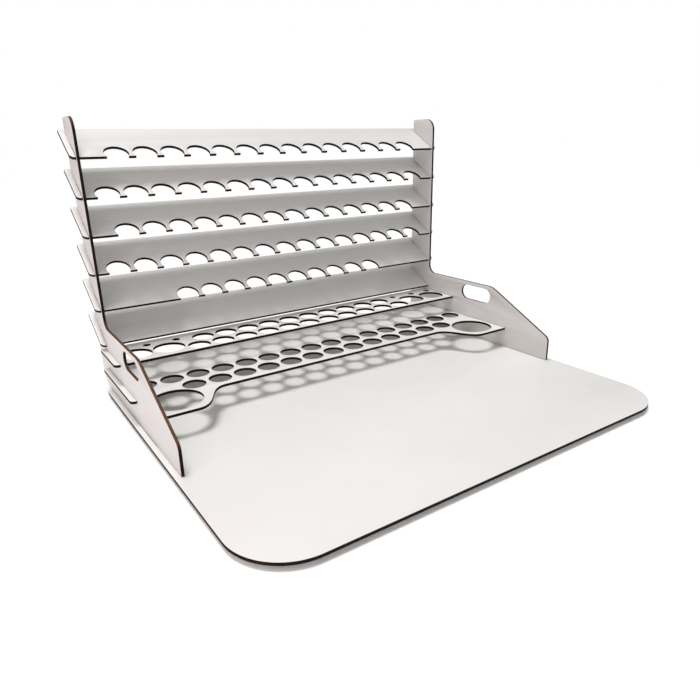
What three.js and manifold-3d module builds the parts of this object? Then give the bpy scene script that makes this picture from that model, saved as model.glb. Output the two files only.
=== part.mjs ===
// Desktop paint rack organizer: a work board with two upright side panels that carry six slanted
// bottle tiers and two level hole plates. Every board is cut from 3 mm white laminated fibreboard
// and the boards slot together: tiers are cross-lapped into the panels, plates are tenoned through
// them, and the panels drop into slots in the work board.
// Millimetres. +X right, +Y back, +Z up. Origin under the middle of the rack, at floor level.
// Inside the rack group y is measured from the front edge of the work board, z from its top face.
import * as THREE from 'three';
import { mergeVertices } from 'three/addons/utils/BufferGeometryUtils.js';
import Module from 'manifold-3d';

const wasm = await Module();
wasm.setup();

const T = 3;                 // board thickness
const GAP = 0.3;             // clearance where two boards meet
const WIDTH = 500;           // width of the work board, tiers and hole plates
const BOARD_DEPTH = 400;     // front to back size of the work board
const FRONT_RADIUS = 54;     // big rounded front corners of the work board
const REAR_RADIUS = 8;       // small rounded rear corners of the work board
const FOOT_HEIGHT = 5;       // rubber foot height under the work board
const FOOT_RADIUS = 6;
const FOOT_SOLE_RADIUS = 4.4;                   // flat part that meets the table
const FOOT_TAPER_RADIUS = 5.3;                  // where the sole's rounding ends
const FRONT_FEET = { x: 205, y: 45 };
const REAR_FEET = { x: 225, y: 375 };

const PANEL_OUT = 244;       // outer face of each side panel, from the middle
const PANEL_IN = PANEL_OUT - T;
const COLUMN_FRONT = 387;    // front edge of the side panel column
const COLUMN_REAR = 430;     // rear edge of the side panel column
const COLUMN_TOP = 302;
const BRACE_TOP = 79;        // level top edge of the forward brace
const BRACE_BEND = 257;      // where that edge starts to slope down
const BRACE_SLOPE = THREE.MathUtils.degToRad(26.2);
const BRACE_FRONT = 157;     // upright front edge of the brace
const HEEL_RADIUS = 19;      // lower rear corner of the column
const CROWN_RADIUS = 3;      // upper rear corner
const SHOULDER_RADIUS = 15;  // upper front corner
const CROOK_RADIUS = 12;     // inner corner where the column meets the brace
const BEND_RADIUS = 30;      // where the brace starts to slope down
const NOSE_RADIUS = 9;       // front end of the brace
const FOOT_TAB = [225, 325]; // panel tab that drops through the work board
const HAND_SLOT = { y: 286.5, z: 63.7, length: 55, height: 20.5 };   // middle and size

const TILT = Math.PI / 6;    // tiers rise to the rear at 30 degrees
const TIER_DEPTH = 56.5;     // tier size measured along its slope
const TIER_FRONT = 388;      // top front edge of every tier
const TIER_TOP_Z = 262.2;    // top front edge height of the highest tier
const TIER_STEP = 40.8;      // height from one tier to the next
const TIER_FRONT_CORNER = 5.5;
const TIER_REAR_CORNER = 1.5;
const LAP = 27;              // depth of the lap slot in a tier, from its front edge
const NOTCH_PITCH = 30.5;    // spacing of the bottle notches
const NOTCH_SHIFT = -4.3;    // the notch rows sit slightly left of the middle
const NOTCH_RADIUS = 13;
const NOTCH_INSET = 6.5;     // notch centre behind the tier front edge
const NOTCH_COUNTS = [14, 15, 14, 15, 10, 0];   // top tier first; the lowest is a plain shelf

const HOLE_PITCH = 30;       // spacing of the bottle holes in the level plates
const LOWER_TOP = 27;        // top face of the lower hole plate
const LOWER_FRONT = 270.5;   // its straight front edge
const LOWER_BULGE = 228;     // front edge of its two side bulges
const BULGE_X = [152, 198];  // each S-shaped transition runs between these distances
const LOWER_TENON = 282;     // front end of its tenons
const LOWER_HOLE_RADIUS = 12.75;
const LOWER_ROWS = [{ y: 291, count: 13 }, { y: 320, count: 16 }];
const LARGE_HOLE = { x: 209.5, y: 261, radius: 27 };                 // one in each bulge
const UPPER_TOP = 51;        // top face of the upper hole plate
const UPPER_FRONT = 333;
const UPPER_HOLE_RADIUS = 13;
const UPPER_ROWS = [{ y: 348, count: 11 }, { y: 376, count: 10 }];
const MEDIUM_HOLES = { x: [182.5, 220.5], y: 359, radius: 18 };      // on both sides
const TOOL_HOLES = { x: [166, 201.5, 233], y: 383, radius: 4.5 };    // on both sides
const TENON_FRONT_CORNER = 5;
const TENON_REAR_CORNER = 3;

// The tiers overhang the work board at the rear; their lower rear edge reaches furthest back.
const RACK_DEPTH = TIER_FRONT + TIER_DEPTH * Math.cos(TILT) + T * Math.sin(TILT);

const laminate = { color: 0xf1efee, roughness: 0.45 };
const rubber = { color: 0x55565a, roughness: 0.8 };

// ---- shape helpers ----------------------------------------------------------------------------
// Closed outline of straight runs; a corner [x, y, radius] is rounded when it has a radius.
function roundedOutline(corners, steps = 6) {
  const points = [];
  corners.forEach(([x, y, radius = 0], i) => {
    const corner = new THREE.Vector2(x, y);
    if (radius === 0) {
      points.push(corner);
      return;
    }
    const before = corners[(i + corners.length - 1) % corners.length];
    const after = corners[(i + 1) % corners.length];
    const toBefore = new THREE.Vector2(before[0] - x, before[1] - y).normalize();
    const toAfter = new THREE.Vector2(after[0] - x, after[1] - y).normalize();
    const half = Math.acos(toBefore.dot(toAfter)) / 2;
    const reach = radius / Math.tan(half);
    const inward = toBefore.clone().add(toAfter).normalize();
    const centre = corner.clone().addScaledVector(inward, radius / Math.sin(half));
    const first = corner.clone().addScaledVector(toBefore, reach).sub(centre);
    const last = corner.clone().addScaledVector(toAfter, reach).sub(centre);
    const turn = Math.atan2(first.cross(last), first.dot(last));
    for (let k = 0; k <= steps; k++) {
      const arm = first.clone().rotateAround(new THREE.Vector2(), (turn * k) / steps);
      points.push(arm.add(centre));
    }
  });
  return points;
}

function toSolid(geometry) {
  geometry.deleteAttribute('normal');
  geometry.deleteAttribute('uv');
  const merged = mergeVertices(geometry, 1e-4);
  return new wasm.Manifold(new wasm.Mesh({
    numProp: 3,
    vertProperties: new Float32Array(merged.attributes.position.array),
    triVerts: new Uint32Array(merged.index.array),
  }));
}

// Solid of an outline between two levels.
function prism(points, bottom, top) {
  const geometry = new THREE.ExtrudeGeometry(new THREE.Shape(points), {
    depth: top - bottom,
    bevelEnabled: false,
  });
  geometry.translate(0, 0, bottom);
  return toSolid(geometry);
}

const boardOf = (points) => prism(points, 0, T);

// Cutters run past both faces of a board.
const cutter = (points) => prism(points, -1, T + 1);

function rectangle(x0, x1, y0, y1) {
  return [[x0, y0], [x1, y0], [x1, y1], [x0, y1]].map(([x, y]) => new THREE.Vector2(x, y));
}

function holeCutter(x, y, radius, segments) {
  const geometry = new THREE.CylinderGeometry(radius, radius, T + 2, segments);
  geometry.rotateX(Math.PI / 2);
  geometry.translate(x, y, T / 2);
  return toSolid(geometry);
}

function boardMesh(name, board, cutters) {
  const solid = cutters.reduce((left, cut) => left.subtract(cut), board);
  const result = solid.getMesh();
  const geometry = new THREE.BufferGeometry();
  geometry.setAttribute('position', new THREE.BufferAttribute(result.vertProperties, 3));
  geometry.setIndex(new THREE.BufferAttribute(result.triVerts, 1));
  geometry.computeVertexNormals();
  const mesh = new THREE.Mesh(geometry, new THREE.MeshStandardMaterial(laminate));
  mesh.name = name;
  return mesh;
}

// Centred row of equally spaced places.
function rowOf(count, pitch) {
  return Array.from({ length: count }, (_, i) => (i - (count - 1) / 2) * pitch);
}

const SIDES = [-1, 1];

// ---- work board -------------------------------------------------------------------------------
function workBoard() {
  const w = WIDTH / 2;
  const board = boardOf(roundedOutline([
    [-w, 0, FRONT_RADIUS],
    [w, 0, FRONT_RADIUS],
    [w, BOARD_DEPTH, REAR_RADIUS],
    [-w, BOARD_DEPTH, REAR_RADIUS],
  ], 12));
  const slots = SIDES.map((side) => {
    const middle = side * (PANEL_IN + T / 2);
    const reach = T / 2 + GAP;
    return cutter(rectangle(middle - reach, middle + reach, FOOT_TAB[0] - GAP, FOOT_TAB[1] + GAP));
  });
  const mesh = boardMesh('work_board', board, slots);
  mesh.position.z = -T;
  return mesh;
}

// ---- side panels ------------------------------------------------------------------------------
// Drawn in (y, z) and turned upright.

// Point of a tier section: s runs up the slope, n is the height over its top face.
function tierPoint(index, s, n) {
  return new THREE.Vector2(s, n)
    .rotateAround(new THREE.Vector2(), TILT)
    .add(new THREE.Vector2(TIER_FRONT, TIER_TOP_Z - index * TIER_STEP));
}

function tierSlot(index) {
  const start = LAP - GAP / 2;
  const end = TIER_DEPTH + 10;
  return cutter([
    tierPoint(index, start, -T - GAP),
    tierPoint(index, end, -T - GAP),
    tierPoint(index, end, GAP),
    tierPoint(index, start, GAP),
  ]);
}

function mortise(front, top) {
  return cutter(rectangle(front - GAP, BOARD_DEPTH + GAP, top - T - GAP, top + GAP));
}

function handSlot() {
  const { y, z, length, height } = HAND_SLOT;
  const r = height / 2 - 0.01;
  return cutter(roundedOutline([
    [y - length / 2, z - height / 2, r],
    [y + length / 2, z - height / 2, r],
    [y + length / 2, z + height / 2, r],
    [y - length / 2, z + height / 2, r],
  ], 6));
}

function sidePanel(name, side) {
  const nose = BRACE_TOP - (BRACE_BEND - BRACE_FRONT) * Math.tan(BRACE_SLOPE);
  const board = boardOf(roundedOutline([
    [BRACE_FRONT, GAP],
    [FOOT_TAB[0], GAP],
    [FOOT_TAB[0], -T],
    [FOOT_TAB[1], -T],
    [FOOT_TAB[1], GAP],
    [COLUMN_REAR, GAP, HEEL_RADIUS],
    [COLUMN_REAR, COLUMN_TOP, CROWN_RADIUS],
    [COLUMN_FRONT, COLUMN_TOP, SHOULDER_RADIUS],
    [COLUMN_FRONT, BRACE_TOP, CROOK_RADIUS],
    [BRACE_BEND, BRACE_TOP, BEND_RADIUS],
    [BRACE_FRONT, nose, NOSE_RADIUS],
  ]));
  const mesh = boardMesh(name, board, [
    ...NOTCH_COUNTS.map((_, i) => tierSlot(i)),
    mortise(LOWER_TENON, LOWER_TOP),
    mortise(UPPER_FRONT, UPPER_TOP),
    handSlot(),
  ]);
  mesh.rotation.set(Math.PI / 2, 0, Math.PI / 2, 'ZYX');
  mesh.position.x = side < 0 ? -PANEL_OUT : PANEL_IN;
  return mesh;
}

// ---- slanted tiers ----------------------------------------------------------------------------
// Drawn in (x, s), with s running up the slope from the front edge.
function tier(index) {
  const w = WIDTH / 2;
  const board = boardOf(roundedOutline([
    [-w, 0, TIER_FRONT_CORNER],
    [w, 0, TIER_FRONT_CORNER],
    [w, TIER_DEPTH, TIER_REAR_CORNER],
    [-w, TIER_DEPTH, TIER_REAR_CORNER],
  ], 4));
  const laps = SIDES.map((side) => {
    const middle = side * (PANEL_IN + T / 2);
    return cutter(rectangle(middle - T / 2 - GAP, middle + T / 2 + GAP, -1, LAP + GAP / 2));
  });
  const notches = rowOf(NOTCH_COUNTS[index], NOTCH_PITCH)
    .map((x) => holeCutter(x + NOTCH_SHIFT, NOTCH_INSET, NOTCH_RADIUS, 18));
  const mesh = boardMesh(`tier_${index + 1}`, board, [...laps, ...notches]);
  mesh.rotation.x = TILT;
  mesh.position.set(
    0,
    TIER_FRONT + T * Math.sin(TILT),
    TIER_TOP_Z - index * TIER_STEP - T * Math.cos(TILT),
  );
  return mesh;
}

// ---- level hole plates ------------------------------------------------------------------------
// Right-hand S-shaped transition, from the straight front edge out to the bulge.
function transition() {
  const [inner, outer] = BULGE_X;
  const reach = (outer - inner) / 2;
  return new THREE.CubicBezierCurve(
    new THREE.Vector2(inner, LOWER_FRONT),
    new THREE.Vector2(inner + reach, LOWER_FRONT),
    new THREE.Vector2(outer - reach, LOWER_BULGE),
    new THREE.Vector2(outer, LOWER_BULGE),
  ).getPoints(12).map((p) => [p.x, p.y]);
}

function bottleHoles(rows, radius) {
  return rows.flatMap(({ y, count }) => rowOf(count, HOLE_PITCH)
    .map((x) => holeCutter(x, y, radius, 18)));
}

function lowerPlate() {
  const w = WIDTH / 2;
  const inside = PANEL_IN - GAP;
  const rightHalf = [
    ...transition(),
    [inside, LOWER_BULGE],
    [inside, LOWER_TENON],
    [w, LOWER_TENON, TENON_FRONT_CORNER],
    [w, BOARD_DEPTH, TENON_REAR_CORNER],
  ];
  const leftHalf = rightHalf.map(([x, y, radius]) => [-x, y, radius]).reverse();
  const board = boardOf(roundedOutline([...rightHalf, ...leftHalf], 4));
  const holes = [
    ...bottleHoles(LOWER_ROWS, LOWER_HOLE_RADIUS),
    ...SIDES.map((side) => holeCutter(side * LARGE_HOLE.x, LARGE_HOLE.y, LARGE_HOLE.radius, 32)),
  ];
  const mesh = boardMesh('lower_hole_plate', board, holes);
  mesh.position.z = LOWER_TOP - T;
  return mesh;
}

function upperPlate() {
  const w = WIDTH / 2;
  const board = boardOf(roundedOutline([
    [-w, UPPER_FRONT, TENON_FRONT_CORNER],
    [w, UPPER_FRONT, TENON_FRONT_CORNER],
    [w, BOARD_DEPTH, TENON_REAR_CORNER],
    [-w, BOARD_DEPTH, TENON_REAR_CORNER],
  ], 4));
  const holes = bottleHoles(UPPER_ROWS, UPPER_HOLE_RADIUS);
  for (const side of SIDES) {
    for (const x of MEDIUM_HOLES.x) {
      holes.push(holeCutter(side * x, MEDIUM_HOLES.y, MEDIUM_HOLES.radius, 24));
    }
    for (const x of TOOL_HOLES.x) {
      holes.push(holeCutter(side * x, TOOL_HOLES.y, TOOL_HOLES.radius, 12));
    }
  }
  const mesh = boardMesh('upper_hole_plate', board, holes);
  mesh.position.z = UPPER_TOP - T;
  return mesh;
}

// ---- rubber feet ------------------------------------------------------------------------------
// Each foot widens slightly from a flat sole up to the board.
function foot(name, x, y) {
  const height = FOOT_HEIGHT - GAP;
  const profile = [
    [0, 0],
    [FOOT_SOLE_RADIUS, 0],
    [FOOT_TAPER_RADIUS, 0.5],
    [FOOT_RADIUS, height - 0.8],
    [FOOT_RADIUS, height],
    [0, height],
  ].map(([r, z]) => new THREE.Vector2(r, z));
  const geometry = new THREE.LatheGeometry(profile, 24);
  geometry.rotateX(Math.PI / 2);
  const mesh = new THREE.Mesh(geometry, new THREE.MeshStandardMaterial(rubber));
  mesh.name = name;
  mesh.position.set(x, y, -T - FOOT_HEIGHT);
  return mesh;
}

// ---- assembly ---------------------------------------------------------------------------------
const rack = new THREE.Group();
rack.name = 'paint_rack_organizer';
rack.position.set(0, -RACK_DEPTH / 2, T + FOOT_HEIGHT);
rack.add(workBoard());
rack.add(sidePanel('side_panel_left', -1));
rack.add(sidePanel('side_panel_right', 1));
NOTCH_COUNTS.forEach((_, i) => rack.add(tier(i)));
rack.add(lowerPlate());
rack.add(upperPlate());
rack.add(foot('foot_front_left', -FRONT_FEET.x, FRONT_FEET.y));
rack.add(foot('foot_front_right', FRONT_FEET.x, FRONT_FEET.y));
rack.add(foot('foot_rear_left', -REAR_FEET.x, REAR_FEET.y));
rack.add(foot('foot_rear_right', REAR_FEET.x, REAR_FEET.y));

export default rack;
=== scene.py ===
import math

import bmesh
import bpy
from mathutils import Matrix, Vector


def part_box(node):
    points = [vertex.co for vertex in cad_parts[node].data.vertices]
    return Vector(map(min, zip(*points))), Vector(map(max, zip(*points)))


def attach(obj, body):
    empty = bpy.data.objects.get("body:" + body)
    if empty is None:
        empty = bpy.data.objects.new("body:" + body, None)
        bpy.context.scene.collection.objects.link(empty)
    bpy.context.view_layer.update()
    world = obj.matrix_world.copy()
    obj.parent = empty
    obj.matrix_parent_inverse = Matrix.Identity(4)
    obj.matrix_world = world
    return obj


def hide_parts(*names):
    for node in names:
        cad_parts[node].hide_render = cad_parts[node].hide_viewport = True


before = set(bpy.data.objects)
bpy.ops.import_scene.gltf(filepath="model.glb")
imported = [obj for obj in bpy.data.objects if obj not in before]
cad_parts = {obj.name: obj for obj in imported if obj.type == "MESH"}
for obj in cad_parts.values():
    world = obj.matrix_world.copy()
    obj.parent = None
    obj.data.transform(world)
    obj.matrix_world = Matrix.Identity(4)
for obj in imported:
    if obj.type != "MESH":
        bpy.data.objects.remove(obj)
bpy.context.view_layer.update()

MM = 0.001
T = 3.0                  # board thickness
GAP = 0.3                # clearance where two boards meet
ARRIS = 0.12             # tiny rounding along every cut edge
WIDTH = 500.0
BOARD_DEPTH = 400.0
FRONT_RADIUS = 54.0      # big rounded front corners of the work board
REAR_RADIUS = 8.0
PANEL_OUT = 244.0
PANEL_IN = PANEL_OUT - T
COLUMN_FRONT = 387.0
COLUMN_REAR = 430.0
COLUMN_TOP = 302.0
BRACE_TOP = 79.0
BRACE_BEND = 257.0
BRACE_SLOPE = math.radians(26.2)
BRACE_FRONT = 157.0
HEEL_RADIUS = 19.0       # lower rear corner of the column
CROWN_RADIUS = 3.0       # upper rear corner
SHOULDER_RADIUS = 15.0   # upper front corner
CROOK_RADIUS = 12.0      # inner corner where the column meets the brace
BEND_RADIUS = 30.0       # where the brace starts to slope down
NOSE_RADIUS = 9.0        # front end of the brace
FOOT_TAB = (225.0, 325.0)
HAND_SLOT_Y = (259.0, 314.0)
HAND_SLOT_Z = (53.45, 73.95)
HAND_SLOT_RADIUS = 10.2
TILT = math.radians(30)
TIER_DEPTH = 56.5
TIER_FRONT = 388.0
TIER_FRONT_CORNER = 5.5
TIER_REAR_CORNER = 1.5
LAP = 27.0
NOTCH_PITCH = 30.5
NOTCH_SHIFT = -4.3       # the notch rows sit slightly left of the middle
NOTCH_RADIUS = 13.0
NOTCH_INSET = 6.5
NOTCH_COUNTS = (14, 15, 14, 15, 10, 0)   # top tier first
HOLE_PITCH = 30.0
LOWER_FRONT = 270.5
LOWER_BULGE = 228.0
BULGE_X = (152.0, 198.0)
LOWER_TENON = 282.0
LOWER_HOLE_RADIUS = 12.75
LOWER_ROWS = ((291.0, 13), (320.0, 16))      # y of the row, number of holes
LARGE_HOLE = (209.5, 261.0, 27.0)            # x, y, radius; one on each side
UPPER_FRONT = 333.0
UPPER_HOLE_RADIUS = 13.0
UPPER_ROWS = ((348.0, 11), (376.0, 10))
MEDIUM_HOLES_X = (182.5, 220.5)              # on both sides
MEDIUM_HOLES_Y = 359.0
MEDIUM_HOLE_RADIUS = 18.0
TOOL_HOLES_X = (166.0, 201.5, 233.0)         # on both sides
TOOL_HOLES_Y = 383.0
TOOL_HOLE_RADIUS = 4.5
TENON_FRONT_CORNER = 5.0
TENON_REAR_CORNER = 3.0
SIDES = (-1, 1)
WELD = 0.002             # points closer than this are merged
CUT_SHARP = math.radians(38)                 # edges of a board steeper than this stay sharp

# Feet, in metres.
FOOT_TREAD_INSET = 0.0019                    # the flat tread is this much smaller in radius
FOOT_TREAD_ROUND = 0.0012
FOOT_RIM = 0.0004                            # chamfer next to the work board
FOOT_CLEAR = 0.0001
FOOT_SHARP = math.radians(50)

# Camera, floor and overhead light, in metres and degrees.
EYE = (-0.3701, -0.2950, 0.2701)             # from the front middle of the work board's top
CAMERA_YAW, CAMERA_PITCH, CAMERA_ROLL = 33.97, 19.31, 1.08
LENS = 30.25
FLOOR_REACH = 6.0
AMBIENT = 0.42           # strength of the studio as light
SEEN = 1.0               # strength of the studio as background
CEILING_ENERGY = 2.3
CEILING_ANGLE = 22
CEILING_TURN = (-4, -6)

# Where the rack's frame sits in the row frame.
board_low, board_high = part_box("work_board")
ORIGIN = Vector((0, board_low.y, board_high.z))


# ---- outlines ---------------------------------------------------------------------------------
def rounded(corners, degrees=5):
    """Closed outline of straight runs; a corner (x, y, radius) is rounded when it has a radius."""
    points = []
    count = len(corners)
    for i, corner in enumerate(corners):
        here = Vector(corner[:2])
        radius = corner[2] if len(corner) > 2 else 0
        if radius == 0:
            points.append(here)
            continue
        to_before = (Vector(corners[i - 1][:2]) - here).normalized()
        to_after = (Vector(corners[(i + 1) % count][:2]) - here).normalized()
        half = math.acos(to_before.dot(to_after)) / 2
        reach = radius / math.tan(half)
        centre = here + (to_before + to_after).normalized() * (radius / math.sin(half))
        first = here + to_before * reach - centre
        last = here + to_after * reach - centre
        turn = math.atan2(first.x * last.y - first.y * last.x, first.dot(last))
        steps = max(3, round(abs(math.degrees(turn)) / degrees))
        for k in range(steps + 1):
            points.append(centre + Matrix.Rotation(turn * k / steps, 2) @ first)
    return points


def circle(x, y, radius, segments=72):
    angles = [2 * math.pi * k / segments for k in range(segments)]
    return [Vector((x + radius * math.cos(a), y + radius * math.sin(a))) for a in angles]


def rectangle(x0, x1, y0, y1):
    return [Vector(p) for p in ((x0, y0), (x1, y0), (x1, y1), (x0, y1))]


def row_of(count, pitch):
    return [(i - (count - 1) / 2) * pitch for i in range(count)]


def work_board_outlines():
    w = WIDTH / 2
    edge = rounded([
        (-w, 0, FRONT_RADIUS),
        (w, 0, FRONT_RADIUS),
        (w, BOARD_DEPTH, REAR_RADIUS),
        (-w, BOARD_DEPTH, REAR_RADIUS),
    ], 2)
    slots = []
    for side in SIDES:
        middle = side * (PANEL_IN + T / 2)
        reach = T / 2 + GAP
        front, rear = FOOT_TAB
        slots.append(rectangle(middle - reach, middle + reach, front - GAP, rear + GAP))
    return [edge, *slots]


def side_panel_outlines(tier_tops, lower_top, upper_top):
    def slot_point(top, s, n):
        y = TIER_FRONT + s * math.cos(TILT) - n * math.sin(TILT)
        return (y, top + s * math.sin(TILT) + n * math.cos(TILT))

    def at_rear(n):
        return (COLUMN_REAR - TIER_FRONT + n * math.sin(TILT)) / math.cos(TILT)

    corners = [
        (BRACE_FRONT, GAP),
        (FOOT_TAB[0], GAP),
        (FOOT_TAB[0], -T),
        (FOOT_TAB[1], -T),
        (FOOT_TAB[1], GAP),
        (COLUMN_REAR, GAP, HEEL_RADIUS),
    ]
    low = -T - GAP
    inner = LAP - GAP / 2
    for top in sorted(tier_tops):
        corners += [
            slot_point(top, at_rear(low), low),
            slot_point(top, inner, low),
            slot_point(top, inner, GAP),
            slot_point(top, at_rear(GAP), GAP),
        ]
    nose = BRACE_TOP - (BRACE_BEND - BRACE_FRONT) * math.tan(BRACE_SLOPE)
    corners += [
        (COLUMN_REAR, COLUMN_TOP, CROWN_RADIUS),
        (COLUMN_FRONT, COLUMN_TOP, SHOULDER_RADIUS),
        (COLUMN_FRONT, BRACE_TOP, CROOK_RADIUS),
        (BRACE_BEND, BRACE_TOP, BEND_RADIUS),
        (BRACE_FRONT, nose, NOSE_RADIUS),
    ]

    def mortise(front, top):
        return rectangle(front - GAP, BOARD_DEPTH + GAP, top - T - GAP, top + GAP)

    hand_slot = rounded([
        (corner.x, corner.y, HAND_SLOT_RADIUS) for corner in rectangle(*HAND_SLOT_Y, *HAND_SLOT_Z)
    ])
    return [
        rounded(corners),
        hand_slot,
        mortise(LOWER_TENON, lower_top),
        mortise(UPPER_FRONT, upper_top),
    ]


def tier_outlines(count):
    w = WIDTH / 2

    def lap(side):
        middle = side * (PANEL_IN + T / 2)
        near, far = middle - T / 2 - GAP, middle + T / 2 + GAP
        depth = LAP + GAP / 2
        return [(near, 0), (near, depth), (far, depth), (far, 0)]

    corners = [(-w, 0, TIER_FRONT_CORNER), *lap(-1)]
    mouth = math.asin(NOTCH_INSET / NOTCH_RADIUS)
    steps = 48
    for middle in row_of(count, NOTCH_PITCH):
        x = middle + NOTCH_SHIFT
        for k in range(steps + 1):
            a = math.pi + mouth - (math.pi + 2 * mouth) * k / steps
            depth = NOTCH_INSET + NOTCH_RADIUS * math.sin(a)
            corners.append((x + NOTCH_RADIUS * math.cos(a), depth))
    corners += [
        *lap(1),
        (w, 0, TIER_FRONT_CORNER),
        (w, TIER_DEPTH, TIER_REAR_CORNER),
        (-w, TIER_DEPTH, TIER_REAR_CORNER),
    ]
    return [rounded(corners)]


def bottle_holes(rows, radius):
    return [circle(x, y, radius) for y, count in rows for x in row_of(count, HOLE_PITCH)]


def lower_plate_outlines():
    w = WIDTH / 2
    inside = PANEL_IN - GAP
    inner, outer = BULGE_X
    reach = (outer - inner) / 2
    half = []
    steps = 40
    for k in range(steps + 1):
        t = k / steps
        x = ((1 - t) ** 3 * inner + 3 * (1 - t) ** 2 * t * (inner + reach)
             + 3 * (1 - t) * t ** 2 * (outer - reach) + t ** 3 * outer)
        blend = 3 * t ** 2 - 2 * t ** 3
        half.append((x, LOWER_FRONT + (LOWER_BULGE - LOWER_FRONT) * blend))
    half += [
        (inside, LOWER_BULGE),
        (inside, LOWER_TENON),
        (w, LOWER_TENON, TENON_FRONT_CORNER),
        (w, BOARD_DEPTH, TENON_REAR_CORNER),
    ]
    mirrored = [(-p[0], *p[1:]) for p in reversed(half)]
    holes = bottle_holes(LOWER_ROWS, LOWER_HOLE_RADIUS)
    x, y, radius = LARGE_HOLE
    holes += [circle(side * x, y, radius, 120) for side in SIDES]
    return [rounded(half + mirrored), *holes]


def upper_plate_outlines():
    w = WIDTH / 2
    edge = rounded([
        (-w, UPPER_FRONT, TENON_FRONT_CORNER),
        (w, UPPER_FRONT, TENON_FRONT_CORNER),
        (w, BOARD_DEPTH, TENON_REAR_CORNER),
        (-w, BOARD_DEPTH, TENON_REAR_CORNER),
    ])
    holes = bottle_holes(UPPER_ROWS, UPPER_HOLE_RADIUS)
    for side in SIDES:
        for x in MEDIUM_HOLES_X:
            holes.append(circle(side * x, MEDIUM_HOLES_Y, MEDIUM_HOLE_RADIUS, 96))
        for x in TOOL_HOLES_X:
            holes.append(circle(side * x, TOOL_HOLES_Y, TOOL_HOLE_RADIUS, 40))
    return [edge, *holes]


# ---- materials --------------------------------------------------------------------------------
class Graph:
    """Small helper that adds nodes to a new material."""

    def __init__(self, name):
        self.material = bpy.data.materials.new(name)
        self.material.use_nodes = True
        self.tree = self.material.node_tree
        self.shader = self.tree.nodes["Principled BSDF"]
        self.coordinates = self.add("ShaderNodeTexCoord").outputs["Object"]

    def add(self, kind, **values):
        node = self.tree.nodes.new(kind)
        for key, value in values.items():
            setattr(node, key, value)
        return node

    def link(self, source, target):
        self.tree.links.new(source, target)

    def noise(self, scale, detail, stretch=(1, 1, 1)):
        mapping = self.add("ShaderNodeMapping")
        mapping.inputs["Scale"].default_value = stretch
        self.link(self.coordinates, mapping.inputs["Vector"])
        noise = self.add("ShaderNodeTexNoise")
        noise.inputs["Scale"].default_value = scale
        noise.inputs["Detail"].default_value = detail
        self.link(mapping.outputs["Vector"], noise.inputs["Vector"])
        return noise.outputs["Fac"]

    def ramp(self, factor, stops):
        node = self.add("ShaderNodeValToRGB")
        elements = node.color_ramp.elements
        for element, (position, colour) in zip(elements, (stops[0], stops[-1])):
            element.position = position
            element.color = (*colour, 1)
        for position, colour in stops[1:-1]:
            elements.new(position).color = (*colour, 1)
        self.link(factor, node.inputs["Fac"])
        return node.outputs["Color"]

    def bump(self, height, distance, strength):
        node = self.add("ShaderNodeBump")
        node.inputs["Distance"].default_value = distance
        node.inputs["Strength"].default_value = strength
        self.link(height, node.inputs["Height"])
        self.link(node.outputs["Normal"], self.shader.inputs["Normal"])


def laminate_material(name, light, dark):
    """White melamine skin: faint cloudy shades, handling smudges and a fine pebbled face."""
    g = Graph(name)
    g.link(g.ramp(g.noise(9, 4), [(0.35, dark), (0.65, light)]), g.shader.inputs["Base Color"])
    rough = g.ramp(g.noise(22, 6), [(0.3, (0.34,) * 3), (0.7, (0.5,) * 3)])
    g.link(rough, g.shader.inputs["Roughness"])
    g.bump(g.noise(2600, 2), 0.00004, 0.35)
    return g.material


def burnt_material(name):
    """Laser-cut fibreboard edge with fine striations: char, with painted overhead light that turns
    the faces pointing up a lighter brown.
    """
    g = Graph(name)
    grain = g.noise(1, 5, (420, 420, 60))
    char = g.ramp(grain, [
        (0.25, (0.004, 0.002, 0.002)),
        (0.5, (0.01, 0.006, 0.004)),
        (0.8, (0.028, 0.015, 0.01)),
    ])
    # Painted light: a lighter brown copy of the char, used where the edge faces up as if lit from
    # above.
    painted_lit_brown = g.ramp(grain, [
        (0.25, (0.06, 0.028, 0.015)),
        (0.5, (0.105, 0.052, 0.029)),
        (0.8, (0.17, 0.09, 0.052)),
    ])
    # Painted light: the colour blends from char to the lighter brown as the edge's normal turns
    # upward, in place of light from above.
    facing = g.add("ShaderNodeSeparateXYZ")
    g.link(g.add("ShaderNodeNewGeometry").outputs["Normal"], facing.inputs["Vector"])
    painted_top_light = g.add("ShaderNodeMapRange")
    painted_top_light.inputs["From Min"].default_value = 0.15
    painted_top_light.inputs["From Max"].default_value = 0.85
    g.link(facing.outputs["Z"], painted_top_light.inputs["Value"])
    mix = g.add("ShaderNodeMix", data_type="RGBA")   # colours use inputs 6 and 7 and output 2
    g.link(painted_top_light.outputs["Result"], mix.inputs[0])
    g.link(char, mix.inputs[6])
    g.link(painted_lit_brown, mix.inputs[7])
    g.link(mix.outputs[2], g.shader.inputs["Base Color"])
    g.shader.inputs["Roughness"].default_value = 0.8
    g.shader.inputs["Specular IOR Level"].default_value = 0.15
    g.bump(g.noise(1, 3, (1500, 1500, 120)), 0.0001, 0.5)
    return g.material


def rubber_material(name):
    g = Graph(name)
    shade = g.ramp(g.noise(300, 4), [(0.3, (0.05,) * 3), (0.7, (0.09,) * 3)])
    g.link(shade, g.shader.inputs["Base Color"])
    g.shader.inputs["Roughness"].default_value = 0.78
    g.bump(g.noise(1800, 3), 0.00008, 0.4)
    return g.material


board_white = laminate_material("board_white", (0.715, 0.707, 0.688), (0.695, 0.686, 0.665))
burnt_edge = burnt_material("burnt_edge")
foot_rubber = rubber_material("foot_rubber")


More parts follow.
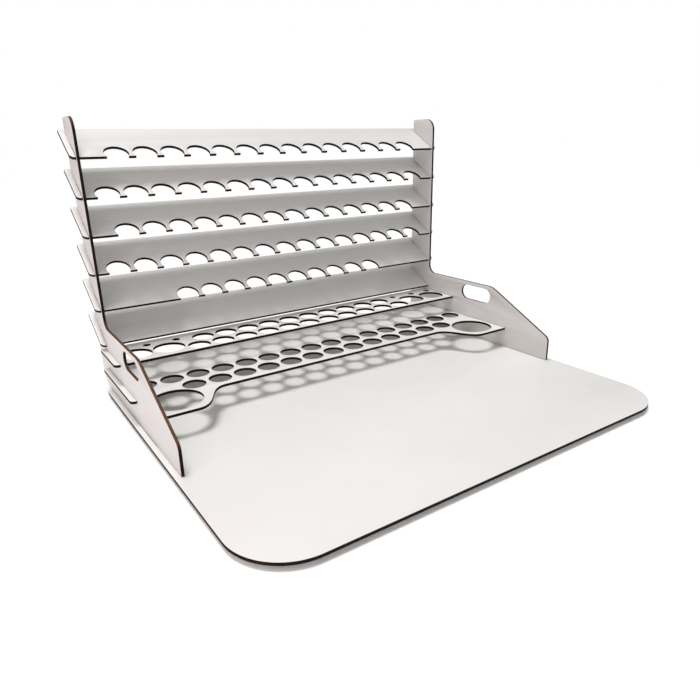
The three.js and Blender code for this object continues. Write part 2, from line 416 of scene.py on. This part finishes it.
# ---- pieces -----------------------------------------------------------------------------------
def cut_board(name, outlines, placement):
    """A flat board with tiny rounded arrises, cut to the outlines; local z is its thickness."""
    curve = bpy.data.curves.new(name, "CURVE")
    curve.dimensions = "2D"
    curve.fill_mode = "BOTH"
    curve.extrude = T / 2 - ARRIS
    curve.bevel_depth = ARRIS
    curve.bevel_resolution = 1
    curve.offset = -ARRIS
    for outline in outlines:
        spline = curve.splines.new("POLY")
        spline.points.add(len(outline) - 1)
        for point, place in zip(spline.points, outline):
            point.co = (place[0], place[1], 0, 1)
        spline.use_cyclic_u = True
    source = bpy.data.objects.new(name + "_outline", curve)
    bpy.context.scene.collection.objects.link(source)
    evaluated = source.evaluated_get(bpy.context.evaluated_depsgraph_get())
    mesh = bpy.data.meshes.new_from_object(evaluated)
    bpy.data.objects.remove(source)
    bpy.data.curves.remove(curve)

    shaped = bmesh.new()
    shaped.from_mesh(mesh)
    bmesh.ops.remove_doubles(shaped, verts=shaped.verts, dist=WELD)
    bmesh.ops.translate(shaped, verts=shaped.verts, vec=(0, 0, T / 2))
    bmesh.ops.scale(shaped, verts=shaped.verts, vec=(MM, MM, MM))
    bmesh.ops.recalc_face_normals(shaped, faces=shaped.faces)
    for face in shaped.faces:
        flat = abs(face.normal.z) > 0.99
        face.material_index = 0 if flat else 1
        face.smooth = not flat
    mesh.materials.clear()
    for material in (board_white, burnt_edge):
        mesh.materials.append(material)
    shaped.to_mesh(mesh)
    shaped.free()
    mesh.set_sharp_from_angle(angle=CUT_SHARP)

    board = bpy.data.objects.new(name, mesh)
    bpy.context.scene.collection.objects.link(board)
    board.matrix_world = placement
    return board


def show(board, node):
    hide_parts(node)
    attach(board, "root")


def level(z):
    """Placement of a level board whose underside is at height z."""
    return Matrix.Translation((ORIGIN.x, ORIGIN.y, z))


def height_above_board(node):
    return (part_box(node)[1].z - ORIGIN.z) / MM


show(cut_board("work_board_look", work_board_outlines(), level(board_low.z)), "work_board")

tier_nodes = [f"tier_{i + 1}" for i in range(len(NOTCH_COUNTS))]
tier_tops = [height_above_board(n) - TIER_DEPTH * math.sin(TILT) for n in tier_nodes]
panel_outlines = side_panel_outlines(
    tier_tops, height_above_board("lower_hole_plate"), height_above_board("upper_hole_plate"))
for node in ("side_panel_left", "side_panel_right"):
    upright = Matrix((
        (0, 0, 1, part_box(node)[0].x),
        (1, 0, 0, ORIGIN.y),
        (0, 1, 0, ORIGIN.z),
        (0, 0, 0, 1),
    ))
    show(cut_board(node + "_look", panel_outlines, upright), node)

for node, count, top in zip(tier_nodes, NOTCH_COUNTS, tier_tops):
    front = Vector((0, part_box(node)[0].y, ORIGIN.z + top * MM))
    slope = Matrix.Rotation(TILT, 4, "X")
    placement = Matrix.Translation(front) @ slope @ Matrix.Translation((0, 0, -T * MM))
    show(cut_board(node + "_look", tier_outlines(count), placement), node)

for node, outlines in (("lower_hole_plate", lower_plate_outlines()),
                       ("upper_hole_plate", upper_plate_outlines())):
    show(cut_board(node + "_look", outlines, level(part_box(node)[0].z)), node)


def rubber_foot(node):
    """Round self-adhesive bumper turned from a soft-cornered profile."""
    low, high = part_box(node)
    centre = (low + high) / 2
    radius = (high.x - low.x) / 2
    height = high.z - low.z
    tread = radius - FOOT_TREAD_INSET
    profile = [(0, 0), (tread, 0)]
    steps = 6
    for k in range(1, steps + 1):
        a = math.pi / 2 * k / steps
        profile.append((tread + FOOT_TREAD_ROUND * math.sin(a), FOOT_TREAD_ROUND * (1 - math.cos(a))))
    profile += [(radius - FOOT_CLEAR, height - FOOT_RIM), (radius - FOOT_RIM, height), (0, height)]
    turned = bmesh.new()
    verts = [turned.verts.new((r, 0, z)) for r, z in profile]
    edges = [turned.edges.new(pair) for pair in zip(verts, verts[1:])]
    bmesh.ops.spin(turned, geom=verts + edges, cent=(0, 0, 0), axis=(0, 0, 1),
                   angle=2 * math.pi, steps=64, use_merge=True)
    bmesh.ops.remove_doubles(turned, verts=turned.verts, dist=1e-6)
    bmesh.ops.recalc_face_normals(turned, faces=turned.faces)
    mesh = bpy.data.meshes.new(node + "_look")
    turned.to_mesh(mesh)
    turned.free()
    for polygon in mesh.polygons:
        polygon.use_smooth = True
    mesh.set_sharp_from_angle(angle=FOOT_SHARP)
    mesh.materials.append(foot_rubber)
    foot = bpy.data.objects.new(node + "_look", mesh)
    bpy.context.scene.collection.objects.link(foot)
    foot.location = (centre.x, centre.y, low.z)
    show(foot, node)


for node in ("foot_front_left", "foot_front_right", "foot_rear_left", "foot_rear_right"):
    rubber_foot(node)


# ---- camera -----------------------------------------------------------------------------------
def aim_camera():
    yaw, pitch, roll = (math.radians(a) for a in (CAMERA_YAW, CAMERA_PITCH, CAMERA_ROLL))
    forward = Vector((
        math.sin(yaw) * math.cos(pitch),
        math.cos(yaw) * math.cos(pitch),
        -math.sin(pitch),
    ))
    right = forward.cross(Vector((0, 0, 1))).normalized()
    down = forward.cross(right)
    across = math.cos(roll) * right + math.sin(roll) * down
    below = -math.sin(roll) * right + math.cos(roll) * down
    camera = bpy.data.objects.new("camera", bpy.data.cameras.new("camera"))
    bpy.context.scene.collection.objects.link(camera)
    camera.data.sensor_width = 36
    camera.data.lens = LENS
    camera.data.clip_start = 0.01
    axes = Matrix((across, -below, -forward)).transposed().to_4x4()
    camera.matrix_world = Matrix.Translation(ORIGIN + Vector(EYE)) @ axes
    bpy.context.scene.camera = camera


aim_camera()


# ---- stage and light --------------------------------------------------------------------------
def lay_floor():
    mesh = bpy.data.meshes.new("floor")
    corners = [(x * FLOOR_REACH, y * FLOOR_REACH, 0) for x, y in ((-1, -1), (1, -1), (1, 1), (-1, 1))]
    mesh.from_pydata(corners, [], [(0, 1, 2, 3)])
    floor = bpy.data.objects.new("floor", mesh)
    bpy.context.scene.collection.objects.link(floor)
    material = bpy.data.materials.new("floor")
    material.use_nodes = True
    shader = material.node_tree.nodes["Principled BSDF"]
    shader.inputs["Base Color"].default_value = (0.93, 0.93, 0.93, 1)
    shader.inputs["Roughness"].default_value = 0.9
    mesh.materials.append(material)


def surround():
    """White where the camera sees it, dimmer as light, so that the ceiling light shapes the rack."""
    world = bpy.data.worlds.new("studio")
    bpy.context.scene.world = world
    world.use_nodes = True
    tree = world.node_tree
    background = tree.nodes["Background"]
    background.inputs["Color"].default_value = (1, 1, 1, 1)
    strength = tree.nodes.new("ShaderNodeMapRange")
    strength.inputs["To Min"].default_value = AMBIENT
    strength.inputs["To Max"].default_value = SEEN
    seen = tree.nodes.new("ShaderNodeLightPath").outputs["Is Camera Ray"]
    tree.links.new(seen, strength.inputs["Value"])
    tree.links.new(strength.outputs["Result"], background.inputs["Strength"])


def ceiling_light():
    """A wide sun, which reaches the whole floor evenly."""
    light = bpy.data.lights.new("ceiling", "SUN")
    light.energy = CEILING_ENERGY
    light.angle = math.radians(CEILING_ANGLE)
    lamp = bpy.data.objects.new("ceiling", light)
    bpy.context.scene.collection.objects.link(lamp)
    lamp.rotation_euler = (*(math.radians(a) for a in CEILING_TURN), 0)


def softbox(name, place, target, size, power, colour=(1, 1, 1)):
    light = bpy.data.lights.new(name, "AREA")
    light.color = colour
    light.shape = "SQUARE"
    light.size = size
    light.energy = power
    lamp = bpy.data.objects.new(name, light)
    bpy.context.scene.collection.objects.link(lamp)
    lamp.location = place
    lamp.visible_camera = False
    lamp.rotation_euler = (Vector(target) - Vector(place)).to_track_quat("-Z", "Y").to_euler()


lay_floor()
surround()
ceiling_light()
softbox("upper_left", place=(-1.1, -0.5, 1.6), target=(0, 0, 0.1), size=1.0, power=4.5)
softbox("left_pink", place=(-0.78, -0.12, 0.38), target=(-0.25, 0, 0.15), size=0.6, power=0.5,
        colour=(1, 0.3, 0.36))

bpy.context.scene.view_settings.view_transform = "Standard"
